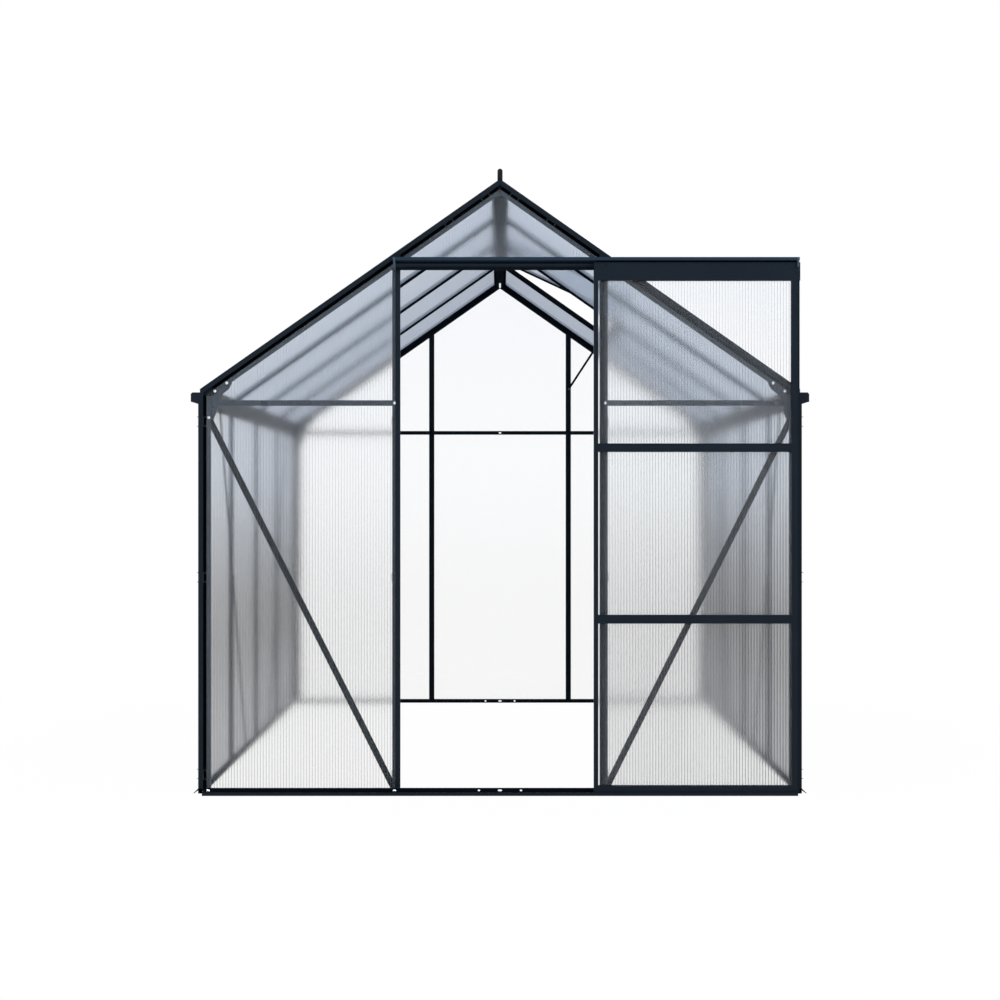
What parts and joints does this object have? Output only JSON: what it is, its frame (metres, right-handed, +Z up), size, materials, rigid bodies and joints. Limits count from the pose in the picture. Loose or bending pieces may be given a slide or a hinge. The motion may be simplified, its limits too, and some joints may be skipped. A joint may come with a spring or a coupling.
{
  "type": "hobby greenhouse",
  "caption": "Walk-in hobby greenhouse: dark aluminium frame, twin-wall plastic sheets, pitched roof with gutters, propped roof vent and a sliding door on a header track.",
  "frame": {"origin": "on the ground, at the middle of the whole outline", "axes": "+X to the right seen from the front, +Y from the front gable to the back gable, +Z up"},
  "size_m": [1.924, 2.529, 1.944],
  "materials": {
    "frame": "satin powder coat, anthracite",
    "sheet": "fluted twin-wall polycarbonate, translucent",
    "bare_metal": "satin",
    "black_plastic": "matt moulded"
  },
  "bodies": {
    "greenhouse": {"left_sill": "frame", "right_sill": "frame", "front_sill": "frame", "back_sill": "frame", "front_corner_posts": "frame", "back_corner_posts": "frame", "door_posts": "frame", "door_header": "frame", "back_wall_posts": "frame", "left_wall_posts": "frame", "right_wall_posts": "frame", "left_eave_gutter": "frame", "right_eave_gutter": "frame", "ridge_beam": "frame", "front_gable_rafters": "frame", "back_gable_rafters": "frame", "left_roof_bars": "frame", "right_roof_bars": "frame", "front_cross_rails": "frame", "back_cross_rail": "frame", "front_braces": "frame", "left_wall_braces": "frame", "right_wall_braces": "frame", "eave_gussets": "frame", "door_track": "frame", "door_guide": "frame", "vent_frame": "frame", "vent_sill_bar": "frame", "front_wall_panes": "sheet", "back_wall_panes": "sheet", "left_wall_panes": "sheet", "right_wall_panes": "sheet", "left_roof_panes": "sheet", "right_roof_panes": "sheet", "vent_pane": "sheet", "vent_stay": "bare_metal", "track_end_caps": "black_plastic"},
    "door": {"door_left_stile": "frame", "door_right_stile": "frame", "door_top_rail": "frame", "door_mid_rails": "frame", "door_bottom_rail": "frame", "door_panes": "sheet", "door_rollers": "black_plastic"}
  },
  "joints": [
    {"name": "door_slide", "type": "slide", "parent": "greenhouse", "child": "door", "axis": [-1, 0, 0], "range_m": [0, 0.609]}
  ]
}
